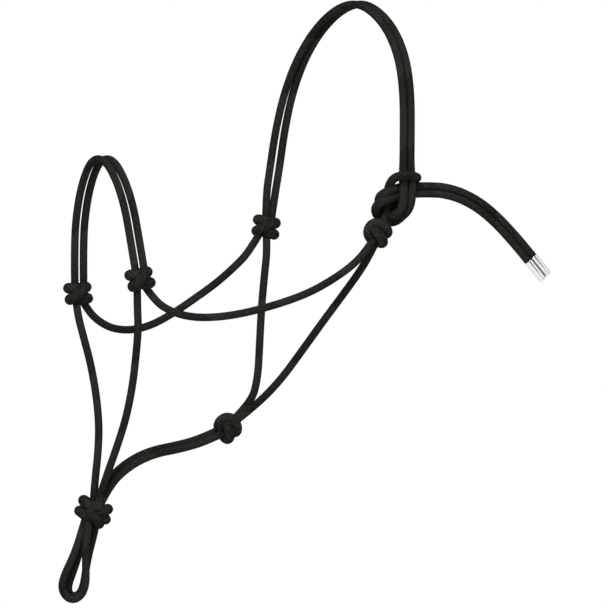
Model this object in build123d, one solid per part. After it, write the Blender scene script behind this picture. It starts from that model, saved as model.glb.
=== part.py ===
from build123d import *
import math
import os

# Rope halter for a horse, standing as it hangs on the head.
# Frame: the horse faces -X, its left (near) side is -Y, +Z is up.
# The origin is midway between the two cheek knots, where the head sits in the halter.
# Everything is in millimetres.

# ---- driving sizes -------------------------------------------------------------------
rope_diameter = 7.0
knot_turn_radius = 8.0        # centreline radius of one turn of rope in an overhand knot
knot_turn_rise = 3.4          # how far each of its two turns stands off the middle
knot_turn_tilt = 12.0         # lean of each turn, degrees
knot_core_radius = 7.2        # the strands packed inside the turns
knot_rope_swell = 0.6         # rope in a knot bulges this much wider than a free strand
fiador_turn_radius = 11.5
fiador_turn_rise = 5.0
fiador_turn_tilt = 16.0
fiador_core_radius = 10.4
crown_gap = 0.5               # clear gap between the two strands that lie side by side
noseband_gap = 1.8
jaw_gap = 1.0
jaw_lean = 30.0               # how much the pair under the jaw leans, near strand lower, degrees
lead_loop_gap = 1.0
tail_gap = 0.3                # clear gap between the two metal tips
hinge_gap = 0.5               # clearance round a knot where a strand of another body swings
open_pivot_gap = 3.5          # clearance where the lower ring of strands is left open
tail_root_gap = 3.6           # clearance where each loose tail bends, just past the tie
tie_top = 62                  # height where the crown strands go over into the tie
tip_length = 22.0
tip_wall = 0.4                # metal round the rope inside it
tip_overlap = 13.0            # how much rope is crimped inside a metal tip
tip_rounding = 1.2            # at the tip's closed end
cut_room = 200.0              # side of the blocks that trim the strands, past any of them

# ---- knots, at the middle of each ----------------------------------------------------
NEAR_CHEEK_KNOT = (0, -105, -3)
OFF_CHEEK_KNOT = (0, 105, 3)
NEAR_NOSE_KNOT = (-213, -60, -43.5)
OFF_NOSE_KNOT = (-212, 60, -56)
THROAT_KNOT = (-95, 0, -175.5)
FIADOR_KNOT = (-228, 0, -249)
TAIL_BEND = (46, -108.6, 35.4)           # midway between the two tails

# ---- routes, chosen by hand: each strand runs from knot to knot ------------------------
CROWN_ROUTE = [
    (25.2, -113.3, tie_top - 4), (24, -116, 84), (25.5, -113, 120), (27.5, -101, 151), (29, -77, 177),
    (30.5, -42, 195), (32, -6, 202), (31.5, 32, 195), (29, 66, 177), (25.5, 92, 151),
    (21.5, 107, 121), (16.5, 112, 88), (11, 110.5, 56), (5, 107.5, 30), (2, 105.5, 9),
]
CROWN_SPREAD = [0, 0, 0, 0, 0, 0, 0, 0, 0, 0.2, 0.8, 1.6, 2.0, 1.2, 0]   # added to crown_gap
TIE_LOOP_ROUTE = [
    (0, -105, 2), (3, -105.5, 8), (6.4, -105.8, 13.6), (9.2, -105, 20), (10.2, -104.5, 27.5),
    (10, -106.5, 35.5), (9.8, -111, 42.5), (12.7, -117.5, 47), (18.3, -120.5, 48.1),
    (25.7, -119.5, 47.9), (34.6, -114.5, 47), (39.5, -106.5, 45.7), (37.5, -100.5, 41.5),
    (29.8, -99, 36), (23.2, -100, 29), (18.9, -102.5, 21.3), (15.2, -104.2, 12.8), (10.5, -105, 3.5),
]
SHEET_BEND_A_ROUTE = [
    (21.3, -113.4, tie_top + 6), (21.5, -112.6, 52), (21.5, -113.5, 40.8), (20.9, -114.8, 32.8),
    (19.2, -117, 25.8), (16.1, -118, 19.6), (12.8, -116.5, 14.5), (11.7, -111.5, 11.5),
    (12.6, -104, 10.2), (11.5, -98.5, 13.8), (6.9, -98.5, 19.1), (1.8, -103.5, 24.4),
    (0, -109, 29.3), (3.5, -112.2, 32.8), (10.5, -112, 35.1), (19.2, -109.5, 37.3),
    (27.8, -108.3, 38.8), (36.7, -108.6, 39.3), (46, -108.8, 39.4),
]
SHEET_BEND_B_ROUTE = [
    (29.1, -113.4, tie_top + 6), (29.5, -112.6, 52), (29.6, -113.5, 40.8), (29.4, -114.3, 32.8),
    (28.3, -115, 26.2), (25, -114.5, 20), (21.5, -112.5, 14.2), (19.5, -107, 9.5),
    (16.9, -101, 6.7), (12.2, -97.5, 6.7), (6, -97.5, 10.3), (-0.2, -101.5, 15.1),
    (-3.2, -108, 19.5), (-1.4, -112.5, 23.5), (5.4, -113, 26.2), (14.9, -110, 28.8),
    (24, -108, 30.7), (33.1, -108, 31.3), (46, -108.8, 31.3),
]
TAIL_ROUTE = [
    (39, -108, 35.3), (50, -109, 35.5), (64, -111, 34.6), (80, -112.5, 30.5), (98, -114, 21.5),
    (114.5, -115.3, 8.5), (130, -116.7, -7), (144.5, -118, -23), (155, -118.8, -35),
]
NEAR_CHEEK_ROUTE = [
    (-209.5, -61, -48), (-202.4, -63, -60), (-189, -66, -71), (-169, -71, -77.3),
    (-144, -77, -77.3), (-117, -83, -72.8), (-89, -90, -65), (-64, -95.5, -56),
    (-43, -100, -44.5), (-25, -104, -32), (-12, -107, -18.5), (-4, -107.5, -8),
]
OFF_CHEEK_ROUTE = [
    (-208, 60.5, -62), (-202, 61, -71), (-190, 62.5, -81), (-174, 66, -87.6),
    (-153, 70, -88.8), (-131, 75.5, -84.5), (-107, 81.5, -74.5), (-82, 88, -61.5),
    (-56, 94, -47), (-34, 99.5, -32), (-17, 105, -19), (-5, 107.5, -7),
]
NOSEBAND_ROUTE = [
    (-213.6, -58.5, -32), (-214.8, -53, -7), (-216, -44.5, 21), (-218.5, -31, 47),
    (-220, -11.5, 65.2), (-220, 11, 66), (-218, 31, 50), (-216, 44.5, 23.5),
    (-215, 53.5, -10), (-213.5, 58.5, -40),
]
NEAR_CHIN_ROUTE = [
    (-214.5, -57.5, -48), (-213.8, -56.2, -65), (-211, -53, -86), (-209.8, -46.5, -110),
    (-208.4, -37, -138), (-209, -25.5, -167), (-213.6, -15.5, -194), (-219.5, -8, -218),
    (-225, -5, -240),
]
OFF_CHIN_ROUTE = [
    (-215.5, 58.5, -60), (-214.5, 57, -73), (-211.2, 51.5, -94), (-207.8, 44, -118),
    (-207.6, 33.5, -146), (-211, 21.5, -174), (-217.5, 13, -199), (-223.5, 7.5, -221),
    (-226.5, 5, -240),
]
JAW_ROUTE = [
    (-99, 0, -178), (-110.5, 0, -182.3), (-127, 0, -188.2), (-146, 0, -192.4),
    (-167, 0, -196), (-186, 0, -203), (-203, 0, -213.5), (-214, 0, -227), (-220.5, 0, -238),
]
NEAR_THROAT_ROUTE = [
    (-1.5, -101, -9), (-4, -99.5, -21), (-13, -94.5, -38), (-24.5, -83.5, -59),
    (-37, -69, -83), (-48.5, -51, -109), (-59, -32.5, -133.5), (-73, -14, -155),
    (-87, -4.5, -170),
]
OFF_THROAT_ROUTE = [
    (0, 102, -4), (-2, 99, -17), (-8.5, 92, -39), (-20, 76, -69), (-33, 55, -101),
    (-46.5, 34.5, -130.5), (-64.5, 16, -154), (-83, 5, -169),
]
LEAD_LOOP_FRONT_ROUTE = [
    (-240.5, -248), (-241.8, -261), (-245.5, -275.5), (-252, -289.5), (-259.5, -303.5),
    (-262, -314), (-258.5, -323.2), (-250.5, -326.8), (-242.5, -322.5), (-237.8, -312.5),
    (-237.5, -297), (-238.3, -281), (-235, -265), (-233.5, -250),
]
LEAD_LOOP_BACK_ROUTE = [
    (-233.5, -248), (-235, -262), (-240.5, -277), (-247.5, -290.5), (-252.6, -303.5),
    (-254.2, -312), (-251.6, -318.8), (-245.6, -321.8), (-239.4, -319.2), (-236, -312.5),
    (-233.6, -300), (-230, -283), (-225, -266), (-223, -252),
]

rope_radius = rope_diameter / 2
tip_radius = rope_radius + tip_wall
knot_rope_radius = rope_radius + knot_rope_swell
tip_gap = 2 * tip_wall            # tips are fatter than rope, so the tails lie wider
CHEEK_HINGE = Vector(OFF_CHEEK_KNOT) - Vector(NEAR_CHEEK_KNOT)
NOSE_HINGE = Vector(OFF_NOSE_KNOT) - Vector(NEAR_NOSE_KNOT)
THROAT_HINGE = Vector(0, 1, 0)


# ---- geometry helpers ----------------------------------------------------------------
def arc_radii(points):
    """Radius of the arc at each corner of a route, as large as its two runs allow."""
    radii = []
    for before, corner, after in zip(points, points[1:], points[2:]):
        run_in = Vector(corner) - Vector(before)
        run_out = Vector(after) - Vector(corner)
        shorter = min(run_in.length, run_out.length)
        turn = math.radians(run_in.get_angle(run_out))
        radii.append(0.45 * shorter / math.tan(turn / 2))
    return radii


def tube(points):
    """Round rope along straight runs joined by tangent arcs, with its tightest arc printed."""
    radii = arc_radii(points)
    path = FilletPolyline(*points, radius=radii)
    start = Plane(origin=path @ 0, z_dir=path % 0)
    rope = sweep(start * Circle(rope_radius), path=path)
    filled = rope.volume / (math.pi * rope_radius**2 * path.length)
    print(f"  length {path.length:.1f}, tightest arc {min(radii):.1f}, volume ratio {filled:.4f}")
    return rope


def largest(shape):
    """The biggest solid of a cut shape."""
    return max(shape.solids(), key=lambda solid: solid.volume)


def moved(points, offsets):
    """A route shifted point by point."""
    return [(x + dx, y + dy, z + dz) for (x, y, z), (dx, dy, dz) in zip(points, offsets)]


def apart(points, gap, side):
    """One of two strands side by side: shifted along the direction given as side."""
    step = Vector(side).normalized() * ((rope_diameter + gap) / 2)
    return moved(points, [(step.X, step.Y, step.Z)] * len(points))


def abreast(points, gap, sign):
    """One of two strands side by side in the upright plane of the route's bend."""
    offsets = []
    last = len(points) - 1
    for index in range(len(points)):
        along = Vector(points[min(index + 1, last)]) - Vector(points[max(index - 1, 0)])
        step = Vector(0, 1, 0).cross(along).normalized() * (-sign * (rope_diameter + gap) / 2)
        offsets.append((step.X, step.Y, step.Z))
    return moved(points, offsets)


def knot_reach(turn_radius, turn_rise, tilt):
    """Distance from a knot's middle to its outermost point."""
    lean = turn_radius * math.sin(math.radians(tilt))
    return math.hypot(turn_radius, turn_rise + lean) + knot_rope_radius


def knot(middle, axis, side, turn_radius, turn_rise, tilt, core_radius):
    """Two leaning turns of rope round the strands that pass through them, as one solid."""
    reach = knot_reach(turn_radius, turn_rise, tilt)
    body = Cylinder(core_radius, 2 * reach) & Sphere(reach)
    for sign in (1, -1):
        turn = Torus(turn_radius, knot_rope_radius)
        body += Pos(0, 0, sign * turn_rise) * Rot(0, -tilt, 0) * turn
    return Plane(origin=middle, x_dir=side, z_dir=axis) * body


overhand_reach = knot_reach(knot_turn_radius, knot_turn_rise, knot_turn_tilt)
fiador_reach = knot_reach(fiador_turn_radius, fiador_turn_rise, fiador_turn_tilt)


def overhand_knot(middle, axis, side):
    return knot(
        middle, axis, side, knot_turn_radius, knot_turn_rise, knot_turn_tilt, knot_core_radius
    )


def swing_room(middle, hinge):
    """Round space about a hinge line through an overhand knot, clear of swinging strands."""
    return Plane(origin=middle, z_dir=hinge) * Cylinder(overhand_reach + hinge_gap, 4 * overhand_reach)


# ---- knots ---------------------------------------------------------------------------
def cheek_knot_near():
    return overhand_knot(NEAR_CHEEK_KNOT, (-0.45, 0, -0.9), (0.9, 0, -0.45))


def cheek_knot_off():
    return overhand_knot(OFF_CHEEK_KNOT, (-0.1, 0, -1), (1, 0, -0.1))


def nose_knot_near():
    return overhand_knot(NEAR_NOSE_KNOT, (0.3, 0, -0.95), (0.95, 0, 0.3))


def nose_knot_off():
    return overhand_knot(OFF_NOSE_KNOT, (0.1, 0, -1), (1, 0, 0.1))


def throat_knot():
    return overhand_knot(THROAT_KNOT, (-0.75, 0, -0.66), (0.66, 0, -0.75))


def fiador_knot():
    turns = (fiador_turn_radius, fiador_turn_rise, fiador_turn_tilt)
    return knot(FIADOR_KNOT, (-0.12, 0, -1), (1, 0, -0.12), *turns, fiador_core_radius)


# ---- strands -------------------------------------------------------------------------
def level_room(side):
    """All the room above (side 1) or below (side -1) the level where the tie starts."""
    middle = (TAIL_BEND[0], TAIL_BEND[1], tie_top + side * cut_room / 2)
    return Pos(*middle) * Box(cut_room, cut_room / 2, cut_room)


def crown_strand(sign):
    """Over the poll from the tie to the off cheek knot; the pair spreads on the off side."""
    spread = [(sign * (rope_diameter + crown_gap + extra) / 2, 0, 0) for extra in CROWN_SPREAD]
    return largest(tube(moved(CROWN_ROUTE, spread)) - level_room(-1) - cheek_knot_off())


def tail_bend_room():
    """Flat room across both tails where they bend."""
    return Pos(*TAIL_BEND) * Box(tail_root_gap, cut_room, cut_room)


def sheet_bend(route):
    """A crown strand's turns through and round the tie loop, out to where its tail starts.

    Where it lies on the near cheek knot it is pressed to the knot's shape.
    """
    return largest(tube(route) - level_room(1) - tail_bend_room() - cheek_knot_near())


def tie_loop():
    return largest(tube(TIE_LOOP_ROUTE) - cheek_knot_near())


def tail_strand(sign):
    return largest(tube(abreast(TAIL_ROUTE, tail_gap + tip_gap, sign)) - tail_bend_room())


def tail_end(sign):
    """Middle and direction of a tail's cut end."""
    route = abreast(TAIL_ROUTE, tail_gap + tip_gap, sign)
    end = Vector(route[-1])
    return end, (end - Vector(route[-2])).normalized()


def tail_tip(sign):
    """Metal cap, closed and rounded at its far end, with the rope's end inside it."""
    end, along = tail_end(sign)
    cap = Cylinder(tip_radius, tip_length, align=(Align.CENTER, Align.CENTER, Align.MIN))
    cap = fillet(cap.edges().sort_by(Axis.Z)[-1], tip_rounding)
    mouth = Cylinder(rope_radius, tip_overlap, align=(Align.CENTER, Align.CENTER, Align.MIN))
    return Plane(origin=end - along * tip_overlap, z_dir=along) * (cap - mouth)


def cheek_strand_near():
    room = swing_room(NEAR_CHEEK_KNOT, CHEEK_HINGE)
    return largest(tube(NEAR_CHEEK_ROUTE) - nose_knot_near() - room)


def cheek_strand_off():
    room = swing_room(OFF_CHEEK_KNOT, CHEEK_HINGE)
    return largest(tube(OFF_CHEEK_ROUTE) - nose_knot_off() - room)


def noseband_strand(sign):
    route = apart(NOSEBAND_ROUTE, noseband_gap, (sign, 0, 0))
    strand = tube(route)
    strand -= swing_room(NEAR_NOSE_KNOT, NOSE_HINGE)
    strand -= swing_room(OFF_NOSE_KNOT, NOSE_HINGE)
    return largest(strand)


def chin_strand_near():
    room = swing_room(NEAR_NOSE_KNOT, NOSE_HINGE)
    return largest(tube(NEAR_CHIN_ROUTE) - room - fiador_knot())


def chin_strand_off():
    room = swing_room(OFF_NOSE_KNOT, NOSE_HINGE)
    return largest(tube(OFF_CHIN_ROUTE) - room - fiador_knot())


def jaw_strand(sign):
    """The near strand lies a little lower than the off one."""
    lean = math.radians(jaw_lean)
    route = apart(JAW_ROUTE, jaw_gap, (0, sign * math.cos(lean), sign * math.sin(lean)))
    fiador_room = Pos(*FIADOR_KNOT) * Sphere(fiador_reach + open_pivot_gap)
    return largest(tube(route) - swing_room(THROAT_KNOT, THROAT_HINGE) - fiador_room)


def throat_strand_near():
    room = swing_room(NEAR_CHEEK_KNOT, CHEEK_HINGE)
    return largest(tube(NEAR_THROAT_ROUTE) - room - throat_knot())


def throat_strand_off():
    room = swing_room(OFF_CHEEK_KNOT, CHEEK_HINGE)
    return largest(tube(OFF_THROAT_ROUTE) - room - throat_knot())


def lead_loop(route, sign):
    """One of two long loops below the fiador knot, cut clear of the knot all round."""
    y = sign * (rope_diameter + lead_loop_gap) / 2
    room = Pos(*FIADOR_KNOT) * Sphere(fiador_reach + hinge_gap)
    return largest(tube([(x, y, z) for x, z in route]) - room)


# ---- every sub-part, by name ---------------------------------------------------------
PARTS = {
    "crown_strand_a": lambda: crown_strand(-1),
    "crown_strand_b": lambda: crown_strand(1),
    "sheet_bend_a": lambda: sheet_bend(SHEET_BEND_A_ROUTE),
    "sheet_bend_b": lambda: sheet_bend(SHEET_BEND_B_ROUTE),
    "tie_loop": tie_loop,
    "cheek_knot_near": cheek_knot_near,
    "cheek_knot_off": cheek_knot_off,
    "tail_strand_a": lambda: tail_strand(1),
    "tail_tip_a": lambda: tail_tip(1),
    "tail_strand_b": lambda: tail_strand(-1),
    "tail_tip_b": lambda: tail_tip(-1),
    "cheek_strand_near": cheek_strand_near,
    "cheek_strand_off": cheek_strand_off,
    "nose_knot_near": nose_knot_near,
    "nose_knot_off": nose_knot_off,
    "noseband_strand_front": lambda: noseband_strand(-1),
    "noseband_strand_rear": lambda: noseband_strand(1),
    "chin_strand_near": chin_strand_near,
    "chin_strand_off": chin_strand_off,
    "fiador_knot": fiador_knot,
    "lead_loop_front": lambda: lead_loop(LEAD_LOOP_FRONT_ROUTE, -1),
    "lead_loop_back": lambda: lead_loop(LEAD_LOOP_BACK_ROUTE, 1),
    "jaw_strand_near": lambda: jaw_strand(-1),
    "jaw_strand_off": lambda: jaw_strand(1),
    "throat_strand_near": throat_strand_near,
    "throat_strand_off": throat_strand_off,
    "throat_knot": throat_knot,
}

os.makedirs("parts", exist_ok=True)
for name, make in PARTS.items():
    print(name)
    export_step(make(), f"parts/{name}.step")
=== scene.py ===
import math

import bpy
import numpy as np
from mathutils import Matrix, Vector


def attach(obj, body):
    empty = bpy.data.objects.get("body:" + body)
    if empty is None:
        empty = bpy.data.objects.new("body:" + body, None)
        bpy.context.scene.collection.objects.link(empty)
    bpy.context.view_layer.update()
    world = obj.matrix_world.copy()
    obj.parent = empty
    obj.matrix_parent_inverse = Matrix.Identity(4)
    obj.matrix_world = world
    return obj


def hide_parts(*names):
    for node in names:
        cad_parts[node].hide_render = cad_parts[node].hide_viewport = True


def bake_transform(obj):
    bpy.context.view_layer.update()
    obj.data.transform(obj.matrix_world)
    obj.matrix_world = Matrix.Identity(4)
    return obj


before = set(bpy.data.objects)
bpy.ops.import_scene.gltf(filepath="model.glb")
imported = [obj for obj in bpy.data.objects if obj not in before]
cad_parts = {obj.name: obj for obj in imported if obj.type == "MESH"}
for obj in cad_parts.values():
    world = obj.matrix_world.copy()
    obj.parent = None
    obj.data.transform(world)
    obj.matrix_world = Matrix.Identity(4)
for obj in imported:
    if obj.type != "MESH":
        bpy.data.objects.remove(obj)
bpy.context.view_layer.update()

# Everything is in metres. The horse faces -X, its near side is -Y, +Z is up, and the origin
# is midway between the two cheek knots.

# ---- sizes -----------------------------------------------------------------------------
ROPE = 0.007
KNOT_ROPE = 0.0096               # rope bulges where it is bent hard in a knot
TIE_ROPE = 0.008                 # and less in the open turns of the tie
CROWN_APART = 0.0075             # between the middles of two strands that lie side by side
NOSEBAND_APART = 0.0088
JAW_APART = 0.0068
TAILS_APART = 0.0068
JAW_LEAN = math.radians(30)
TIP_LENGTH = 0.022
TIP_WIDTH = 0.0071
TIP_OVERLAP = 0.013              # length of rope inside the tip
TIP_SIDES = 64
SEAM_DEPTH = 0.00035             # the line where the tip's metal meets itself

SWELL_LENGTH = 0.02              # over which the tie's ends swell from the free rope's width
BRAID_STRANDS = 12               # strands that run round the sheath each way
BRAID_PICK = 0.0022              # length of one crossing along the rope
BRAID_RELIEF = 0.0004            # height of a strand over the grooves between
SAMPLES_PER_PICK = 4
RING_STEP = BRAID_PICK / SAMPLES_PER_PICK
CROWN_SHARE = 0.62               # how much of the relief is a strand's own roundness
WAVE_SHARE = 1 - CROWN_SHARE     # and how much is its rise and fall over the others
BRAID_START = 0.31               # shift of the braid from one rope of a knot to the next
SHADE_STEP = 0.6180339           # spreads the strands' shades evenly

KNOT_UNIT = 0.0061               # the knots' own unit: a smaller one draws them tighter
KNOT_STRETCH = 1.1               # an overhand knot is this much longer along its axis

# ---- knots, at the middle of each --------------------------------------------------------
NEAR_CHEEK_KNOT = Vector((0, -0.105, -0.003))
OFF_CHEEK_KNOT = Vector((0, 0.105, 0.003))
NEAR_NOSE_KNOT = Vector((-0.213, -0.06, -0.0435))
OFF_NOSE_KNOT = Vector((-0.212, 0.06, -0.056))
THROAT_KNOT = Vector((-0.095, 0, -0.1755))
FIADOR_KNOT = Vector((-0.228, 0, -0.249))

# ---- routes ------------------------------------------------------------------------------
# Each strand runs into the hearts of its knots. The crown and the tails start at the tie's edge.
CROWN_ROUTE = [
    (0.0249, -0.1137, 0.062), (0.024, -0.116, 0.084), (0.0255, -0.113, 0.12),
    (0.0275, -0.101, 0.151), (0.029, -0.077, 0.177), (0.0305, -0.042, 0.195),
    (0.032, -0.006, 0.202), (0.0325, 0.032, 0.195), (0.0305, 0.066, 0.177), (0.0272, 0.092, 0.151),
    (0.023, 0.107, 0.121), (0.0176, 0.112, 0.088), (0.0117, 0.1105, 0.056), (0.0055, 0.1075, 0.03),
    (0.0015, 0.104, 0.003),
]
CROWN_SPREAD = [0, 0, 0, 0, 0, 0, 0, 0, 0, 0.0002, 0.0008, 0.0016, 0.002, 0.0012, -0.003]
TIE_LOOP_ROUTE = [
    (-0.0009, -0.1015, -0.003), (0.0045, -0.105, 0.0055), (0.0072, -0.1055, 0.0116),
    (0.01, -0.105, 0.0196), (0.0105, -0.104, 0.0275), (0.01, -0.106, 0.0355),
    (0.0098, -0.111, 0.0421), (0.0117, -0.117, 0.0466), (0.0173, -0.1205, 0.0481),
    (0.0257, -0.119, 0.0479), (0.0346, -0.1135, 0.0468), (0.039, -0.107, 0.0457),
    (0.0367, -0.101, 0.0435), (0.0298, -0.099, 0.0382), (0.0232, -0.1, 0.0302),
    (0.0184, -0.1025, 0.0213), (0.0143, -0.1045, 0.0142), (0.0095, -0.106, 0.0072),
    (0.004, -0.1065, -0.001),
]
SHEET_BEND_A_ROUTE = [
    (0.0211, -0.1137, 0.062), (0.0215, -0.1126, 0.052), (0.0213, -0.1135, 0.0408),
    (0.0209, -0.1148, 0.032), (0.0196, -0.117, 0.0242), (0.0168, -0.118, 0.0175),
    (0.0128, -0.1165, 0.013), (0.0111, -0.1115, 0.0118), (0.0136, -0.102, 0.0107),
    (0.0115, -0.0975, 0.0138), (0.0069, -0.0985, 0.0191), (0.0018, -0.1035, 0.0244),
    (-0.0001, -0.109, 0.0293), (0.0025, -0.1125, 0.0324), (0.0098, -0.112, 0.0351),
    (0.0192, -0.1095, 0.0373), (0.0278, -0.1083, 0.0385), (0.0357, -0.1086, 0.0387),
    (0.046, -0.1088, 0.03875),
]
SHEET_BEND_B_ROUTE = [
    (0.0287, -0.1137, 0.062), (0.0295, -0.1126, 0.052), (0.0296, -0.1135, 0.0408),
    (0.0294, -0.1143, 0.032), (0.0283, -0.115, 0.024), (0.0255, -0.1145, 0.0168),
    (0.0205, -0.1125, 0.0118), (0.0185, -0.107, 0.008), (0.0169, -0.1015, 0.0067),
    (0.0128, -0.097, 0.0067), (0.006, -0.0975, 0.0103), (-0.0002, -0.1015, 0.0151),
    (-0.0036, -0.108, 0.02), (-0.002, -0.1125, 0.024), (0.0048, -0.113, 0.0262),
    (0.0149, -0.11, 0.029), (0.024, -0.108, 0.0316), (0.0321, -0.1078, 0.032),
    (0.046, -0.1088, 0.03195),
]
TAIL_ROUTE = [
    (0.046, -0.1088, 0.03535), (0.054, -0.1097, 0.0353), (0.064, -0.111, 0.0346),
    (0.08, -0.1125, 0.0305), (0.098, -0.114, 0.0215), (0.1145, -0.1153, 0.0085),
    (0.13, -0.1167, -0.007), (0.1445, -0.118, -0.023), (0.155, -0.1188, -0.035),
]
NEAR_CHEEK_ROUTE = [
    (-0.2119, -0.0579, -0.0435), (-0.2024, -0.063, -0.06), (-0.189, -0.066, -0.071),
    (-0.169, -0.071, -0.0773), (-0.144, -0.077, -0.0773), (-0.117, -0.083, -0.0728),
    (-0.089, -0.09, -0.065), (-0.064, -0.0955, -0.056), (-0.043, -0.1, -0.0445),
    (-0.025, -0.104, -0.032), (-0.012, -0.107, -0.0185), (-0.0011, -0.1071, -0.003),
]
OFF_CHEEK_ROUTE = [
    (-0.2109, 0.0621, -0.056), (-0.202, 0.061, -0.071), (-0.19, 0.0625, -0.081),
    (-0.174, 0.066, -0.0876), (-0.153, 0.07, -0.0888), (-0.131, 0.0755, -0.0845),
    (-0.107, 0.0815, -0.0745), (-0.082, 0.088, -0.0615), (-0.056, 0.094, -0.047),
    (-0.034, 0.0995, -0.032), (-0.017, 0.105, -0.019), (-0.0034, 0.1037, 0.003),
]
NOSEBAND_ROUTE = [
    (-0.212, -0.0605, -0.0435), (-0.2148, -0.053, -0.007), (-0.216, -0.0445, 0.021),
    (-0.2175, -0.031, 0.045), (-0.2185, -0.0115, 0.062), (-0.2185, 0.011, 0.0628),
    (-0.2165, 0.031, 0.048), (-0.216, 0.0445, 0.0235), (-0.215, 0.0535, -0.01),
    (-0.211, 0.0595, -0.056),
]
NEAR_CHIN_ROUTE = [
    (-0.2164, -0.0613, -0.0435), (-0.2138, -0.0562, -0.065), (-0.211, -0.053, -0.086),
    (-0.2098, -0.0465, -0.11), (-0.2084, -0.037, -0.138), (-0.209, -0.0255, -0.167),
    (-0.2136, -0.0155, -0.194), (-0.2195, -0.008, -0.218), (-0.2265, -0.0035, -0.244),
]
OFF_CHIN_ROUTE = [
    (-0.2154, 0.0587, -0.056), (-0.2145, 0.057, -0.073), (-0.2112, 0.0515, -0.094),
    (-0.2078, 0.044, -0.118), (-0.2076, 0.0335, -0.146), (-0.211, 0.0215, -0.174),
    (-0.2168, 0.013, -0.199), (-0.2225, 0.0075, -0.221), (-0.2265, 0.0035, -0.244),
]
JAW_ROUTE = [
    (-0.0957, 0, -0.1765), (-0.1105, 0, -0.1823), (-0.127, 0, -0.1882), (-0.146, 0, -0.1924),
    (-0.167, 0, -0.196), (-0.186, 0, -0.203), (-0.2038, 0, -0.2145), (-0.2155, 0, -0.228),
    (-0.2245, 0, -0.244),
]
NEAR_THROAT_ROUTE = [
    (0.0034, -0.1037, -0.003), (-0.004, -0.0995, -0.021), (-0.013, -0.0945, -0.038),
    (-0.0245, -0.0835, -0.059), (-0.037, -0.069, -0.083), (-0.0485, -0.051, -0.109),
    (-0.059, -0.0325, -0.1335), (-0.073, -0.014, -0.155), (-0.0955, -0.0021, -0.1749),
]
OFF_THROAT_ROUTE = [
    (0.0011, 0.1071, 0.003), (-0.002, 0.099, -0.017), (-0.0085, 0.092, -0.039),
    (-0.02, 0.076, -0.069), (-0.033, 0.055, -0.101), (-0.0455, 0.0345, -0.1305),
    (-0.0622, 0.016, -0.154), (-0.0935, 0.0055, -0.1745),
]
LEAD_LOOP_FRONT_ROUTE = [
    (-0.235, 0, -0.252), (-0.239, -0.001, -0.262), (-0.2438, -0.0018, -0.2755),
    (-0.2498, -0.002, -0.2895), (-0.258, -0.003, -0.3035), (-0.262, -0.004, -0.3145),
    (-0.2585, -0.0045, -0.3232), (-0.2505, -0.005, -0.3268), (-0.2428, -0.006, -0.3225),
    (-0.239, -0.007, -0.3125), (-0.2395, -0.0075, -0.297), (-0.2398, -0.0078, -0.283),
    (-0.238, -0.0062, -0.269), (-0.233, -0.003, -0.255),
]
LEAD_LOOP_BACK_ROUTE = [
    (-0.2325, 0.003, -0.252), (-0.235, 0.0036, -0.263), (-0.238, 0.004, -0.277),
    (-0.242, 0.0044, -0.2915), (-0.247, 0.0046, -0.3045), (-0.2508, 0.0045, -0.314),
    (-0.2502, 0.0042, -0.321), (-0.245, 0.0038, -0.3235), (-0.2388, 0.0034, -0.3202),
    (-0.2356, 0.003, -0.311), (-0.234, 0.0026, -0.2985), (-0.2308, 0.002, -0.283),
    (-0.2262, 0.0014, -0.267), (-0.2235, 0.001, -0.252),
]

# ---- camera ------------------------------------------------------------------------------
VIEW_CENTRE = Vector((-0.0175, 0.0002, -0.0655))
VIEW_WIDTH = 0.5387
VIEW_ANGLE = math.radians(-28)     # the camera stands a little towards the horse's nose
LENS = 1500.0                      # a long lens, so that near and far strands look alike
SENSOR = 36.0

AWAY = Vector((-math.sin(VIEW_ANGLE), math.cos(VIEW_ANGLE), 0))


def make_camera():
    data = bpy.data.cameras.new("camera")
    data.sensor_width = SENSOR
    data.lens = LENS
    distance = VIEW_WIDTH * LENS / SENSOR
    data.clip_end = 4 * distance
    camera = bpy.data.objects.new("camera", data)
    camera.location = VIEW_CENTRE - AWAY * distance
    camera.rotation_mode = "QUATERNION"
    camera.rotation_quaternion = AWAY.to_track_quat("-Z", "Y")
    bpy.context.scene.collection.objects.link(camera)
    bpy.context.scene.camera = camera


# ---- rope --------------------------------------------------------------------------------
SPLINE_STEPS = 32                # points of a spline for each of its control points


def spline_line(points):
    """The points of a smooth NURBS spline with these control points, as Blender gives them."""
    data = bpy.data.curves.new("route", "CURVE")
    data.dimensions = "3D"
    data.resolution_u = SPLINE_STEPS
    spline = data.splines.new("NURBS")
    spline.points.add(len(points) - 1)
    for point, co in zip(spline.points, points):
        point.co = (*co, 1)
    spline.order_u = 3
    spline.use_endpoint_u = True
    holder = bpy.data.objects.new("route", data)
    mesh = bpy.data.meshes.new_from_object(holder)
    line = np.array([v.co for v in mesh.vertices], float)
    bpy.data.meshes.remove(mesh)
    bpy.data.curves.remove(data)
    return line


def evenly(line, step):
    """The line again with its points about a step apart."""
    along = np.concatenate([[0], np.cumsum(np.linalg.norm(np.diff(line, axis=0), axis=1))])
    at = np.linspace(0, along[-1], max(2, round(along[-1] / step)) + 1)
    return np.stack([np.interp(at, along, line[:, k]) for k in range(3)], axis=1)


def unit(rows):
    return rows / np.maximum(np.linalg.norm(rows, axis=-1, keepdims=True), 1e-12)


SKEW = (0.3, 0.9, 0.2)           # a direction that no rope here starts along


def cross_axes(line):
    """Two axes across the line at each point, which turn with it and don't twist round it."""
    along = unit(np.gradient(line, axis=0))
    first = np.cross(along[0], SKEW)
    axes = [unit(first)]
    for tangent in along[1:]:
        axes.append(unit(axes[-1] - np.dot(axes[-1], tangent) * tangent))
    axes = np.array(axes)
    return axes, np.cross(along, axes)


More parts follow.
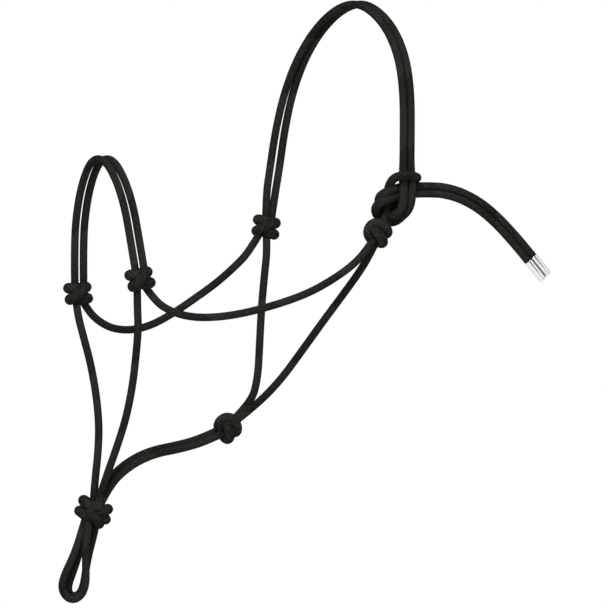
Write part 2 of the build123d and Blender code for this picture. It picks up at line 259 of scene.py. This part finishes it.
def braid_height(around, along):
    """Height of the braided surface, 0 in a groove to 1 on a strand, and which strand is on top.

    Strands run both ways round the rope, each over two and then under two of the others.
    """
    first = around * BRAID_STRANDS + along / BRAID_PICK
    second = around * BRAID_STRANDS - along / BRAID_PICK
    heights = []
    for across, lengthwise, sign in ((first, second, 1), (second, first, -1)):
        crown = np.sin(np.pi * (across % 1.0))
        wave = sign * np.cos(np.pi / 2 * (np.floor(across) + lengthwise - 1))
        heights.append(CROWN_SHARE * crown + WAVE_SHARE * (0.5 + 0.5 * wave))
    top = np.maximum(*heights)
    strand = np.where(heights[0] > heights[1], np.floor(first) * 7, np.floor(second) * 13 + 5)
    return top, strand


def tube_faces(rings, sides):
    """The faces between rings of vertices, each ring joined to the next."""
    faces = []
    for ring in range(rings - 1):
        low, high = ring * sides, (ring + 1) * sides
        for k in range(sides):
            beside = (k + 1) % sides
            faces.append((low + k, low + beside, high + beside, high + k))
    return faces


def rope_rings(line, width, end_width, start):
    """A braided rope along a line: its vertices and faces, and for each vertex the height of
    the braid, the strand's shade, and the place along the rope and round it.
    """
    sides = BRAID_STRANDS * SAMPLES_PER_PICK
    middle = evenly(line, RING_STEP)
    across, up = cross_axes(middle)
    along = start + np.arange(len(middle)) * RING_STEP
    around = (np.arange(sides) + 0.5) / sides
    height, strand = braid_height(around[None, :], along[:, None])
    to_end = np.minimum(np.arange(len(middle)), np.arange(len(middle))[::-1]) * RING_STEP
    swell = np.clip(to_end / SWELL_LENGTH, 0, 1)
    half = (end_width + (width - end_width) * swell * swell * (3 - 2 * swell)) / 2
    radius = half[:, None] - BRAID_RELIEF * (1 - height)
    angle = 2 * np.pi * around[None, :, None]
    spoke = across[:, None, :] * np.cos(angle) + up[:, None, :] * np.sin(angle)
    rings = middle[:, None, :] + spoke * radius[:, :, None]
    vertices = np.concatenate([rings.reshape(-1, 3), middle[:1], middle[-1:]])
    count = len(middle)
    faces = tube_faces(count, sides)
    low, high, last = count * sides, count * sides + 1, (count - 1) * sides
    faces += [(low, (k + 1) % sides, k) for k in range(sides)]
    faces += [(high, last + k, last + (k + 1) % sides) for k in range(sides)]
    # the braid's height, which the rope's material turns into painted shade in its grooves
    height_for_painted_shade = np.concatenate([height.ravel(), [0, 0]])
    thread = np.concatenate([((strand * SHADE_STEP) % 1.0).ravel(), [0, 0]])
    place = np.concatenate([np.repeat(along, sides), [along[0], along[-1]]])
    turn = np.concatenate([np.tile(around, count), [0, 0]])
    return vertices, faces, height_for_painted_shade, thread, place, turn


def add_attribute(mesh, name, values):
    attribute = mesh.attributes.new(name, "FLOAT", "POINT")
    attribute.data.foreach_set("value", np.asarray(values, np.float32))


def rope_piece(name, lines, width, end_width, material):
    """One piece made of ropes along one or more lines."""
    parts = [
        rope_rings(line, width, end_width, start=BRAID_START * index)
        for index, line in enumerate(lines)
    ]
    vertices, faces, offset = [], [], 0
    for part in parts:
        vertices.append(part[0])
        faces += [tuple(v + offset for v in face) for face in part[1]]
        offset += len(part[0])
    mesh = bpy.data.meshes.new(name)
    mesh.from_pydata(np.concatenate(vertices).tolist(), [], faces)
    for index, attribute in enumerate(("braid_height", "braid_thread", "rope_place", "rope_turn")):
        add_attribute(mesh, attribute, np.concatenate([part[2 + index] for part in parts]))
    mesh.polygons.foreach_set("use_smooth", [True] * len(mesh.polygons))
    mesh.materials.append(material)
    piece = bpy.data.objects.new(name, mesh)
    bpy.context.scene.collection.objects.link(piece)
    return piece


def shifted(points, offset):
    return [tuple(Vector(p) + Vector(offset)) for p in points]


def upright_pair(points, apart, side):
    """One of two strands side by side in the upright plane that the route bends in."""
    moved = []
    last = len(points) - 1
    for index, point in enumerate(points):
        along = Vector(points[min(index + 1, last)]) - Vector(points[max(index - 1, 0)])
        step = Vector((0, 1, 0)).cross(along).normalized() * (-side * apart / 2)
        moved.append(tuple(Vector(point) + step))
    return moved


# ---- materials ---------------------------------------------------------------------------
def new_material(name):
    material = bpy.data.materials.new(name)
    material.use_nodes = True
    nodes = material.node_tree.nodes
    return material, nodes, material.node_tree.links, nodes["Principled BSDF"]


def rope_material():
    """Near-black braided yarn with painted shade in the grooves between strands, and a slightly
    different shade on each strand.
    """
    material, nodes, links, shader = new_material("black_rope")
    shader.inputs["Roughness"].default_value = 0.65
    shader.inputs["Specular IOR Level"].default_value = 0
    height = nodes.new("ShaderNodeAttribute")
    height.attribute_name = "braid_height"
    thread = nodes.new("ShaderNodeAttribute")
    thread.attribute_name = "braid_thread"
    place = nodes.new("ShaderNodeAttribute")
    place.attribute_name = "rope_place"
    turn = nodes.new("ShaderNodeAttribute")
    turn.attribute_name = "rope_turn"
    # painted shade: by the braid's height, the grooves and the dipped parts of strands are coloured
    # nearly black
    groove_painted_shade = nodes.new("ShaderNodeValToRGB")
    groove_painted_shade.color_ramp.elements[0].position = 0.5
    groove_painted_shade.color_ramp.elements[0].color = (0.0004, 0.0004, 0.0003, 1)
    groove_painted_shade.color_ramp.elements[1].position = 0.98
    groove_painted_shade.color_ramp.elements[1].color = (0.0132, 0.0132, 0.0112, 1)
    links.new(height.outputs["Fac"], groove_painted_shade.inputs["Fac"])
    shade = nodes.new("ShaderNodeMapRange")
    shade.inputs["To Min"].default_value = 0.55
    shade.inputs["To Max"].default_value = 1.45
    links.new(thread.outputs["Fac"], shade.inputs["Value"])
    colour = nodes.new("ShaderNodeVectorMath")
    colour.operation = "SCALE"
    links.new(groove_painted_shade.outputs["Color"], colour.inputs[0])
    links.new(shade.outputs["Result"], colour.inputs["Scale"])
    links.new(colour.outputs["Vector"], shader.inputs["Base Color"])
    # fine filaments along the rope, read from the place along it and round it
    spot = nodes.new("ShaderNodeCombineXYZ")
    links.new(place.outputs["Fac"], spot.inputs["X"])
    links.new(turn.outputs["Fac"], spot.inputs["Y"])
    stretch = nodes.new("ShaderNodeVectorMath")
    stretch.operation = "MULTIPLY"
    stretch.inputs[1].default_value = (900, 160, 1)
    links.new(spot.outputs["Vector"], stretch.inputs[0])
    fibre = nodes.new("ShaderNodeTexNoise")
    fibre.inputs["Scale"].default_value = 1.0
    fibre.inputs["Detail"].default_value = 2.0
    links.new(stretch.outputs["Vector"], fibre.inputs["Vector"])
    bump = nodes.new("ShaderNodeBump")
    bump.inputs["Strength"].default_value = 0.35
    bump.inputs["Distance"].default_value = 0.0001
    links.new(fibre.outputs["Fac"], bump.inputs["Height"])
    links.new(bump.outputs["Normal"], shader.inputs["Normal"])
    return material


def metal_material():
    """Polished silver-white metal with faint drawn streaks."""
    material, nodes, links, shader = new_material("silver_tip")
    shader.inputs["Metallic"].default_value = 1.0
    shader.inputs["Base Color"].default_value = (0.34, 0.34, 0.35, 1)
    place = nodes.new("ShaderNodeTexCoord")
    noise = nodes.new("ShaderNodeTexNoise")
    noise.inputs["Scale"].default_value = 700
    noise.inputs["Detail"].default_value = 3
    links.new(place.outputs["Object"], noise.inputs["Vector"])
    rough = nodes.new("ShaderNodeMapRange")
    rough.inputs["To Min"].default_value = 0.16
    rough.inputs["To Max"].default_value = 0.34
    links.new(noise.outputs["Fac"], rough.inputs["Value"])
    links.new(rough.outputs["Result"], shader.inputs["Roughness"])
    return material


# ---- strands between the knots -----------------------------------------------------------
def strand(name, points, node, body, far_end="object", with_pieces=()):
    """One free stretch of rope: a cord that stands for its CAD solid.

    The body is one that it rides on, or else two bodies and the places of a bend between them; these
    are not used, and the rope then rides on no body.
    """
    line = spline_line(points)
    piece = rope_piece(name, [line], ROPE, ROPE, ROPE_LOOK)
    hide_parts(node)
    if isinstance(body, str):
        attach(piece, body)
    else:
        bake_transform(piece)


def make_crown():
    for letter, side in (("a", -1), ("b", 1)):
        points = [
            (x + side * (CROWN_APART + extra) / 2, y, z)
            for (x, y, z), extra in zip(CROWN_ROUTE, CROWN_SPREAD)
        ]
        strand(f"crown_rope_{letter}", points, f"crown_strand_{letter}", "crown")


def make_noseband():
    for word, side in (("front", -1), ("rear", 1)):
        points = shifted(NOSEBAND_ROUTE, (side * NOSEBAND_APART / 2, 0, 0))
        bend = ("headstall", "noseband", (-0.213, 0, -0.045), (-0.215, 0, 0.025))
        strand(f"noseband_rope_{word}", points, f"noseband_strand_{word}", bend)


def make_chin():
    near_bend = ("headstall", "chin", (-0.213, -0.058, -0.05), (-0.212, -0.055, -0.09))
    off_bend = ("headstall", "chin", (-0.213, 0.058, -0.06), (-0.212, 0.052, -0.1))
    strand("chin_rope_near", NEAR_CHIN_ROUTE, "chin_strand_near", near_bend)
    strand("chin_rope_off", OFF_CHIN_ROUTE, "chin_strand_off", off_bend)


def make_cheeks():
    strand("cheek_rope_near", NEAR_CHEEK_ROUTE, "cheek_strand_near", "headstall")
    strand("cheek_rope_off", OFF_CHEEK_ROUTE, "cheek_strand_off", "headstall")


def make_throat():
    near_bend = ("headstall", "throat", (0, -0.104, -0.012), (-0.013, -0.0945, -0.045))
    off_bend = ("headstall", "throat", (0, 0.104, -0.008), (-0.011, 0.089, -0.048))
    strand("throat_rope_near", NEAR_THROAT_ROUTE, "throat_strand_near", near_bend)
    strand("throat_rope_off", OFF_THROAT_ROUTE, "throat_strand_off", off_bend)


def make_jaw():
    bend = ("throat", "jaw", (-0.1, 0, -0.178), (-0.15, 0, -0.193))
    for word, side in (("near", -1), ("off", 1)):
        lean = Vector((0, math.cos(JAW_LEAN), math.sin(JAW_LEAN))) * (side * JAW_APART / 2)
        points = shifted(JAW_ROUTE, lean)
        strand(f"jaw_rope_{word}", points, f"jaw_strand_{word}", bend)


def make_lead_loops():
    bend = ("chin", "lead", (-0.231, 0, -0.252), (-0.242, 0, -0.295))
    strand("lead_rope_front", LEAD_LOOP_FRONT_ROUTE, "lead_loop_front", bend)
    strand("lead_rope_back", LEAD_LOOP_BACK_ROUTE, "lead_loop_back", bend)


def make_tails():
    for letter, side in (("a", 1), ("b", -1)):
        points = upright_pair(TAIL_ROUTE, TAILS_APART, side)
        end = Vector(points[-1])
        along = (end - Vector(points[-2])).normalized()
        tip = metal_tip(f"tip_{letter}", end - along * TIP_OVERLAP, along)
        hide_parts(f"tail_tip_{letter}")
        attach(tip, f"tail_{letter}")
        bend = ("crown", f"tail_{letter}", (0.046, -0.109, 0.035), (0.105, -0.115, 0.016))
        strand(
            f"tail_rope_{letter}", points, f"tail_strand_{letter}", bend,
            far_end="fitting", with_pieces=[tip],
        )


def metal_tip(name, start, along):
    """A plain metal cap: a rolled lip, a straight side with a seam along it and a rounded end."""
    half = TIP_WIDTH / 2
    profile = [
        (0, half - 0.0005), (0, half - 0.0001), (0.0003, half), (TIP_LENGTH / 2, half),
        (TIP_LENGTH - 0.0009, half), (TIP_LENGTH - 0.0003, half - 0.0003),
        (TIP_LENGTH, half - 0.0009),
    ]
    axis = np.array(along)
    across = unit(np.cross(axis, (0, 1, 0.1)))
    up = np.cross(axis, across)
    vertices = []
    for distance, radius in profile:
        for k in range(TIP_SIDES):
            angle = 2 * math.pi * k / TIP_SIDES
            spoke = across * math.cos(angle) + up * math.sin(angle)
            sunk = SEAM_DEPTH if k == TIP_SIDES // 4 else 0
            vertices.append(tuple(np.array(start) + axis * distance + spoke * (radius - sunk)))
    rows = len(profile)
    faces = tube_faces(rows, TIP_SIDES)
    faces.append(tuple(range(TIP_SIDES))[::-1])
    faces.append(tuple((rows - 1) * TIP_SIDES + k for k in range(TIP_SIDES)))
    mesh = bpy.data.meshes.new(name)
    mesh.from_pydata(vertices, [], faces)
    mesh.polygons.foreach_set("use_smooth", [True] * (len(faces) - 2) + [False] * 2)
    mesh.materials.append(METAL_LOOK)
    tip = bpy.data.objects.new(name, mesh)
    bpy.context.scene.collection.objects.link(tip)
    return tip


# ---- knots -------------------------------------------------------------------------------
# Turns of a knot in its own axes: X to the right, Y away, Z up the axis, in units of KNOT_UNIT.
# Half of the overhand knot whose front shows one strand crossing over the rest. The other half
# is the same turned half round, and the rope dives under its own front turn at both ends.
CROSSED_HALF = [
    (0, -1.5, 0), (0.7, -1.35, 0.4), (1.3, -0.7, 0.7), (1.3, 0.3, 0.66), (0.9, 0.95, 0.55),
    (0, 1.25, 0.6), (-0.9, 0.9, 0.74), (-1.34, 0.3, 0.84), (-1.26, -0.45, 0.82),
    (-0.75, -0.8, 0.8), (-0.1, -0.55, 0.7), (0.2, 0, 0.4),
]
CROSSED = [(-x, y, -z) for x, y, z in reversed(CROSSED_HALF[1:])] + CROSSED_HALF
# The overhand knot whose front shows two turns side by side, the upper one a wide arc.
ARCHED = [
    (-0.3, 0, -1.1), (-1.0, -0.55, -0.95), (-1.4, -0.75, -0.25), (-1.25, -0.95, 0.65),
    (-0.4, -1.1, 1.15), (0.7, -0.9, 1.0), (1.4, -0.2, 0.6), (0.9, 0.9, 0.4), (-0.3, 1.25, 0.1),
    (-1.1, 0.7, -0.2), (-1.0, -0.3, -0.25), (-0.6, -1.25, -0.2), (0.2, -1.6, -0.35),
    (1.0, -1.2, -0.7), (1.3, -0.3, -1.0), (0.8, 0.8, -0.9), (0, 0.8, -0.5), (0, 0.3, 0.3),
]


def placed(points, middle, axis, stretch=1.0):
    """Points of a knot's own axes put in place, with its Z along the axis."""
    z = Vector(axis).normalized()
    x = AWAY.cross(z).normalized()
    y = z.cross(x)
    return [tuple(middle + (x * p[0] + y * p[1] + z * (p[2] * stretch)) * KNOT_UNIT) for p in points]


def overhand_knot(name, node, body, middle, axis, turns):
    """The turns of one overhand knot."""
    line = spline_line(placed(turns, middle, axis, KNOT_STRETCH))
    piece = rope_piece(name, [line], KNOT_ROPE, KNOT_ROPE, ROPE_LOOK)
    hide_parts(node)
    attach(piece, body)


# The visible lobes of the four-strand knot under the chin, each running back into its heart.
FIADOR_LOBES = [
    [
        (0, 0.6, 0.6), (-0.7, 1.1, 1.0), (-1.3, 0.8, 1.5), (-1.65, 0, 1.6), (-1.55, -0.8, 1.35),
        (-1.0, -1.3, 0.8), (-0.2, -1.55, 0.62), (0.6, -1.4, 0.75), (1.1, -0.7, 0.8),
        (0.8, 0.2, 0.4),
    ],
    [
        (-0.5, 0.2, 0.4), (-0.85, -0.8, 0.05), (-0.45, -1.6, -0.3), (0.2, -1.8, -0.7),
        (0.75, -1.6, -1.2), (1.05, -0.9, -1.65), (0.9, 0, -1.6), (0.4, 0.7, -1.1), (0, 0.5, -0.4),
    ],
    [
        (0.2, -0.2, -0.9), (0.8, -1.0, -0.55), (1.3, -1.35, 0), (1.85, -1.0, 0.55),
        (2.1, -0.2, 0.65), (1.8, 0.7, 0.5), (1.0, 1.25, 0.3), (0.2, 1.2, 0.3), (0, 0.4, 0.2),
    ],
    [
        (0, -0.3, -0.9), (-0.6, -0.9, -0.85), (-1.25, -1.05, -0.6), (-1.9, -0.8, -0.15),
        (-2.1, 0.1, 0), (-1.6, 0.9, -0.2), (-0.8, 1.25, -0.4), (0, 1.2, -0.8), (0.3, 0.4, -0.8),
    ],
    [
        (0.2, -0.3, -0.9), (0.9, -0.7, -0.85), (1.55, -0.75, -0.9), (1.95, -0.1, -0.85),
        (1.6, 0.8, -0.85), (0.9, 1.25, -0.5), (0, 1.35, 0.1), (-0.8, 0.9, 0.6), (-0.3, 0.2, 0.8),
    ],
]


def fiador_knot():
    """The knot under the chin. Its axis leans so that its lower end points forward."""
    lines = [spline_line(placed(lobe, FIADOR_KNOT, (0.12, 0, 1))) for lobe in FIADOR_LOBES]
    piece = rope_piece("chin_knot", lines, KNOT_ROPE, KNOT_ROPE, ROPE_LOOK)
    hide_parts("fiador_knot")
    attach(piece, "chin")


def make_knots():
    overhand_knots = (
        ("nose_turns_near", "nose_knot_near", "headstall", NEAR_NOSE_KNOT, (-0.3, 0, 0.95), CROSSED),
        ("nose_turns_off", "nose_knot_off", "headstall", OFF_NOSE_KNOT, (-0.15, 0, 1), CROSSED),
        ("cheek_turns_off", "cheek_knot_off", "crown", OFF_CHEEK_KNOT, (0.15, 0, 1), CROSSED),
        ("cheek_turns_near", "cheek_knot_near", "crown", NEAR_CHEEK_KNOT, (0.45, 0, 0.9), ARCHED),
        ("throat_turns", "throat_knot", "throat", THROAT_KNOT, (0.75, 0, 0.66), ARCHED),
    )
    for knot in overhand_knots:
        overhand_knot(*knot)
    fiador_knot()


def make_tie():
    """The crown's two strands bent round the loop that stands up from the near cheek knot."""
    routes = (
        ("tie_loop_turn", "tie_loop", TIE_LOOP_ROUTE),
        ("tie_turn_a", "sheet_bend_a", SHEET_BEND_A_ROUTE),
        ("tie_turn_b", "sheet_bend_b", SHEET_BEND_B_ROUTE),
    )
    for name, node, route in routes:
        piece = rope_piece(name, [spline_line(route)], TIE_ROPE, ROPE, ROPE_LOOK)
        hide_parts(node)
        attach(piece, "crown")


# ---- floor and light ---------------------------------------------------------------------
FLOOR_LEVEL = -0.42              # under the lead loops, and under what the main view shows
FLOOR_REACH = 6.0
FLOOR_CORNERS = [(-1, -1), (1, -1), (1, 1), (-1, 1)]


def make_stage():
    world = bpy.data.worlds.new("studio")
    world.use_nodes = True
    background = world.node_tree.nodes["Background"]
    background.inputs["Color"].default_value = (1, 1, 1, 1)
    background.inputs["Strength"].default_value = 1.0
    bpy.context.scene.world = world
    bpy.context.scene.view_settings.view_transform = "Standard"
    mesh = bpy.data.meshes.new("floor")
    corners = [(x * FLOOR_REACH, y * FLOOR_REACH, FLOOR_LEVEL) for x, y in FLOOR_CORNERS]
    mesh.from_pydata(corners, [], [(0, 1, 2, 3)])
    material, _, _, shader = new_material("pale_floor")
    shader.inputs["Base Color"].default_value = (0.86, 0.86, 0.86, 1)
    shader.inputs["Roughness"].default_value = 0.9
    mesh.materials.append(material)
    floor = bpy.data.objects.new("floor", mesh)
    bpy.context.scene.collection.objects.link(floor)


def area_light(name, place, size, power):
    data = bpy.data.lights.new(name, "AREA")
    data.energy = power
    data.size = size
    light = bpy.data.objects.new(name, data)
    light.location = place
    aim = VIEW_CENTRE - Vector(place)
    light.rotation_mode = "QUATERNION"
    light.rotation_quaternion = aim.to_track_quat("-Z", "Y")
    bpy.context.scene.collection.objects.link(light)


def make_lights():
    area_light("key", (-0.9, -1.1, 1.2), 0.8, 85)
    area_light("fill", (1.3, -0.8, 0.5), 1.2, 9)
    area_light("back", (0.2, 1.4, 0.9), 0.8, 14)


make_camera()
ROPE_LOOK = rope_material()
METAL_LOOK = metal_material()
make_crown()
make_noseband()
make_cheeks()
make_chin()
make_throat()
make_jaw()
make_lead_loops()
make_tails()
make_knots()
make_tie()
make_stage()
make_lights()
